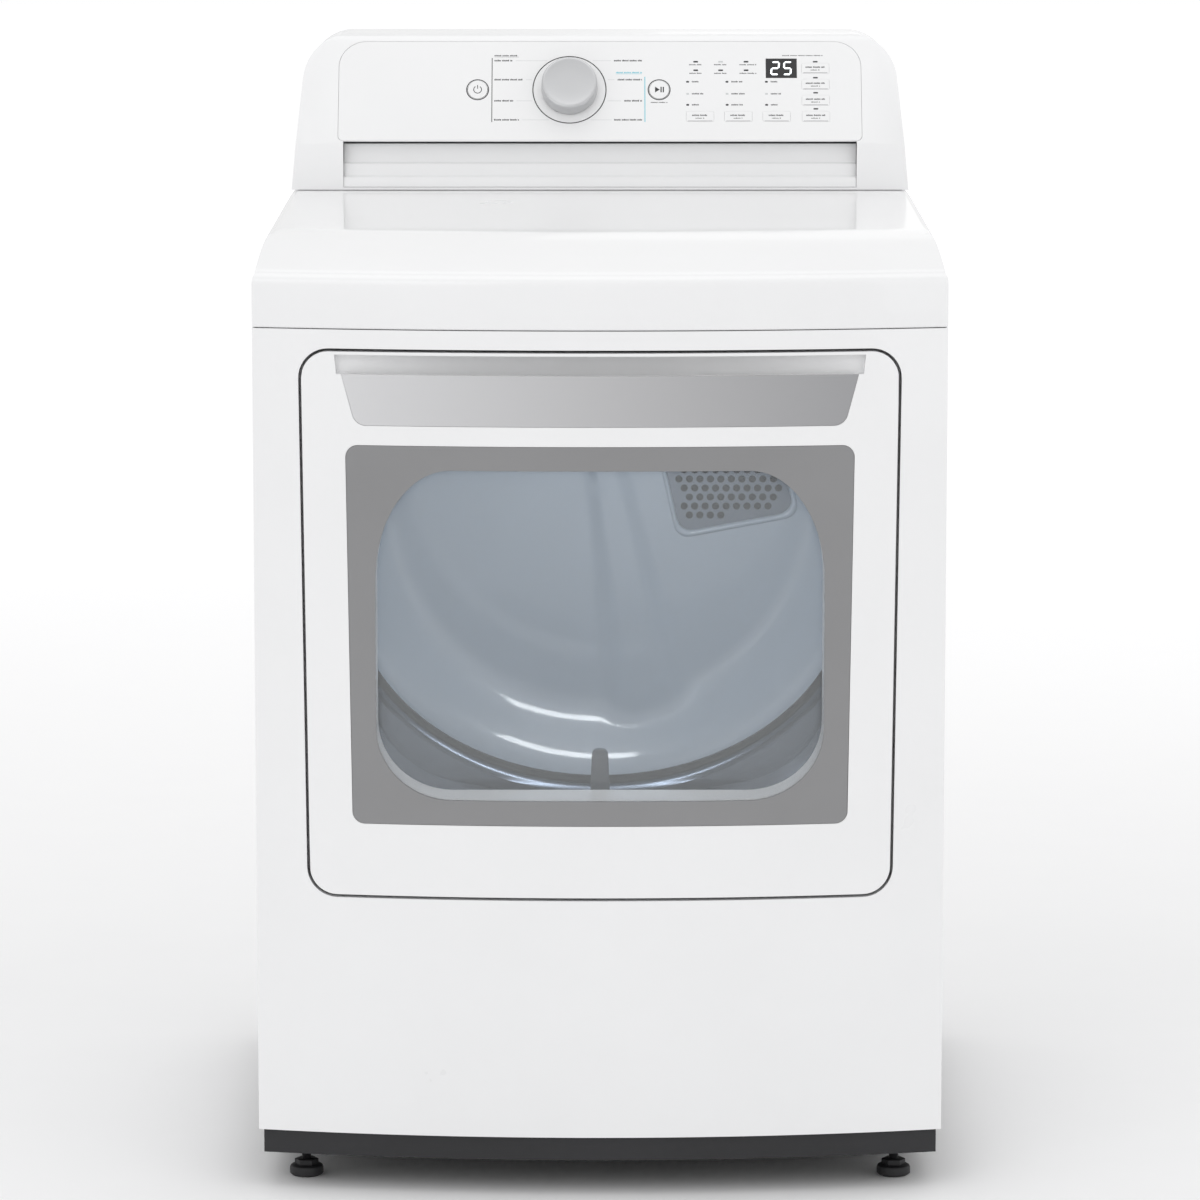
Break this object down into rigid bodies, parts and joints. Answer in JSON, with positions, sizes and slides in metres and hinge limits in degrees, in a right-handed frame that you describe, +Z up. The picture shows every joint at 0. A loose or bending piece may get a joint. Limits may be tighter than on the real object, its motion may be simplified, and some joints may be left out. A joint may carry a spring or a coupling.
{
  "type": "clothes dryer",
  "caption": "Front-loading clothes dryer with a bowed white cabinet, rear console, pull-down windowed door and turning drum.",
  "frame": {"origin": "centre of the footprint's box, on the floor", "axes": "+Z up, the front faces -Y, +X to the viewer's right"},
  "size_m": [0.686, 0.7491, 1.131],
  "materials": {
    "white_enamel": "glossy white enamel",
    "white_plastic": "satin white moulding",
    "housing_plastic": "natural grey moulding",
    "black_plastic": "fine-textured black",
    "grey_frame": "printed grey border",
    "silver_trim": "brushed silver",
    "galvanised_steel": "galvanised sheet",
    "bright_steel": "zinc-plated",
    "motor_casting": "stoved grey",
    "drum_enamel": "blue-grey enamel",
    "rubber": "matt",
    "window_glass": "clear",
    "circuit_board": "solder mask",
    "filter_plastic": "translucent smoke"
  },
  "bodies": {
    "cabinet": {"air_inlet_grille": "galvanised_steel", "base_pan": "black_plastic", "blower_housing": "housing_plastic", "console_housing": "white_plastic", "console_lower_trim": "white_plastic", "console_rear_cover": "white_enamel", "control_board": "circuit_board", "control_fascia": "white_plastic", "display_lens": "black_plastic", "drive_belt": "rubber", "drive_motor": "motor_casting", "drum_front_seal": "rubber", "exhaust_duct": "galvanised_steel", "front_bulkhead": "galvanised_steel", "front_panel": "white_enamel", "heater_duct": "galvanised_steel", "latch_catch": "black_plastic", "lint_duct": "housing_plastic", "rear_bulkhead": "drum_enamel", "rear_panel": "white_enamel", "roller_shaft_left": "bright_steel", "roller_shaft_right": "bright_steel", "side_panel_left": "white_enamel", "side_panel_right": "white_enamel", "terminal_block_cover": "galvanised_steel", "top_panel": "white_enamel"},
    "door": {"door_outer_panel": "white_plastic", "door_inner_liner": "white_plastic", "door_window_frame": "grey_frame", "door_glass": "window_glass", "door_handle_trim": "silver_trim", "door_seal": "rubber", "door_hinge_left": "bright_steel", "door_hinge_right": "bright_steel", "door_strike": "bright_steel"},
    "drum": {"drum_shell": "drum_enamel", "drum_lifter_1": "housing_plastic", "drum_lifter_2": "housing_plastic", "drum_lifter_3": "housing_plastic"},
    "motor_rotor": {"motor_shaft": "bright_steel", "blower_wheel": "black_plastic"},
    "roller_left": {"drum_roller_left": "rubber"},
    "roller_right": {"drum_roller_right": "rubber"},
    "idler_arm": {"idler_arm": "bright_steel"},
    "idler_wheel": {"idler_pulley": "black_plastic"},
    "knob": {"control_knob": "silver_trim"},
    "power": {"power_button": "white_plastic"},
    "start": {"start_pause_button": "white_plastic"},
    "filter": {"lint_filter": "filter_plastic"},
    "key_dry_level": {"key_dry_level": "white_plastic"},
    "key_temperature": {"key_temperature": "white_plastic"},
    "key_time_dry": {"key_time_dry": "white_plastic"},
    "key_more_time": {"key_more_time": "white_plastic"},
    "key_less_time": {"key_less_time": "white_plastic"},
    "key_energy_saver": {"key_energy_saver": "white_plastic"},
    "key_wrinkle_care": {"key_wrinkle_care": "white_plastic"},
    "foot_front_left": {"foot_front_left": "black_plastic"},
    "foot_front_right": {"foot_front_right": "black_plastic"},
    "foot_rear_left": {"foot_rear_left": "black_plastic"},
    "foot_rear_right": {"foot_rear_right": "black_plastic"}
  },
  "joints": [
    {"name": "door_open", "type": "hinge", "parent": "cabinet", "child": "door", "pos_m": [0, -0.376, 0.301], "axis": [1, 0, 0], "range_deg": [0, 90]},
    {"name": "drum_spin", "type": "hinge", "parent": "cabinet", "child": "drum", "pos_m": [0, -0.0365, 0.597], "axis": [0, 1, 0], "continuous": true},
    {"name": "motor_spin", "type": "hinge", "parent": "cabinet", "child": "motor_rotor", "pos_m": [0, -0.0865, 0.15], "axis": [0, 1, 0], "continuous": true},
    {"name": "roller_left_spin", "type": "hinge", "parent": "cabinet", "child": "roller_left", "pos_m": [-0.21585, 0.2355, 0.32072], "axis": [0, 1, 0], "continuous": true},
    {"name": "roller_right_spin", "type": "hinge", "parent": "cabinet", "child": "roller_right", "pos_m": [0.21585, 0.2355, 0.32072], "axis": [0, 1, 0], "continuous": true},
    {"name": "idler_arm_swing", "type": "hinge", "parent": "cabinet", "child": "idler_arm", "pos_m": [0.0078, 0.0115, 0.09234], "axis": [0, 1, 0], "range_deg": [0, 8], "stiffness_Nm_per_rad": 3, "springref_deg": -17.19},
    {"name": "idler_spin", "type": "hinge", "parent": "idler_arm", "child": "idler_wheel", "pos_m": [0.08868, 0.0005, 0.17826], "axis": [0, 1, 0], "continuous": true},
    {"name": "knob_turn", "type": "hinge", "parent": "cabinet", "child": "knob", "pos_m": [-0.0328, 0.19666, 1.07273], "axis": [0, -0.8821, 0.471], "continuous": true},
    {"name": "power_press", "type": "slide", "parent": "cabinet", "child": "power", "axis": [0, 0.8821, -0.471], "range_m": [0, 0.0012], "stiffness_N_per_m": 600, "springref_m": -0.0006},
    {"name": "start_press", "type": "slide", "parent": "cabinet", "child": "start", "axis": [0, 0.8821, -0.471], "range_m": [0, 0.0012], "stiffness_N_per_m": 600, "springref_m": -0.0006},
    {"name": "dry_level_press", "type": "slide", "parent": "cabinet", "child": "key_dry_level", "axis": [0, 0.8821, -0.471], "range_m": [0, 0.0012], "stiffness_N_per_m": 600, "springref_m": -0.0006},
    {"name": "temperature_press", "type": "slide", "parent": "cabinet", "child": "key_temperature", "axis": [0, 0.8821, -0.471], "range_m": [0, 0.0012], "stiffness_N_per_m": 600, "springref_m": -0.0006},
    {"name": "time_dry_press", "type": "slide", "parent": "cabinet", "child": "key_time_dry", "axis": [0, 0.8821, -0.471], "range_m": [0, 0.0012], "stiffness_N_per_m": 600, "springref_m": -0.0006},
    {"name": "more_time_press", "type": "slide", "parent": "cabinet", "child": "key_more_time", "axis": [0, 0.8821, -0.471], "range_m": [0, 0.0012], "stiffness_N_per_m": 600, "springref_m": -0.0006},
    {"name": "less_time_press", "type": "slide", "parent": "cabinet", "child": "key_less_time", "axis": [0, 0.8821, -0.471], "range_m": [0, 0.0012], "stiffness_N_per_m": 600, "springref_m": -0.0006},
    {"name": "energy_saver_press", "type": "slide", "parent": "cabinet", "child": "key_energy_saver", "axis": [0, 0.8821, -0.471], "range_m": [0, 0.0012], "stiffness_N_per_m": 600, "springref_m": -0.0006},
    {"name": "wrinkle_care_press", "type": "slide", "parent": "cabinet", "child": "key_wrinkle_care", "axis": [0, 0.8821, -0.471], "range_m": [0, 0.0012], "stiffness_N_per_m": 600, "springref_m": -0.0006},
    {"name": "filter_lift", "type": "slide", "parent": "cabinet", "child": "filter", "axis": [0, 0, 1], "range_m": [0, 0.2]},
    {"name": "foot_front_left_level", "type": "slide", "parent": "cabinet", "child": "foot_front_left", "axis": [0, 0, -1], "range_m": [0, 0.015]},
    {"name": "foot_front_right_level", "type": "slide", "parent": "cabinet", "child": "foot_front_right", "axis": [0, 0, -1], "range_m": [0, 0.015]},
    {"name": "foot_rear_left_level", "type": "slide", "parent": "cabinet", "child": "foot_rear_left", "axis": [0, 0, -1], "range_m": [0, 0.015]},
    {"name": "foot_rear_right_level", "type": "slide", "parent": "cabinet", "child": "foot_rear_right", "axis": [0, 0, -1], "range_m": [0, 0.015]}
  ],
  "couplings": [
    {"joint": "motor_spin", "follows": "drum_spin", "ratio": 22.857},
    {"joint": "roller_left_spin", "follows": "drum_spin", "ratio": -10.667},
    {"joint": "roller_right_spin", "follows": "drum_spin", "ratio": -10.667},
    {"joint": "idler_spin", "follows": "drum_spin", "ratio": -11.429}
  ]
}
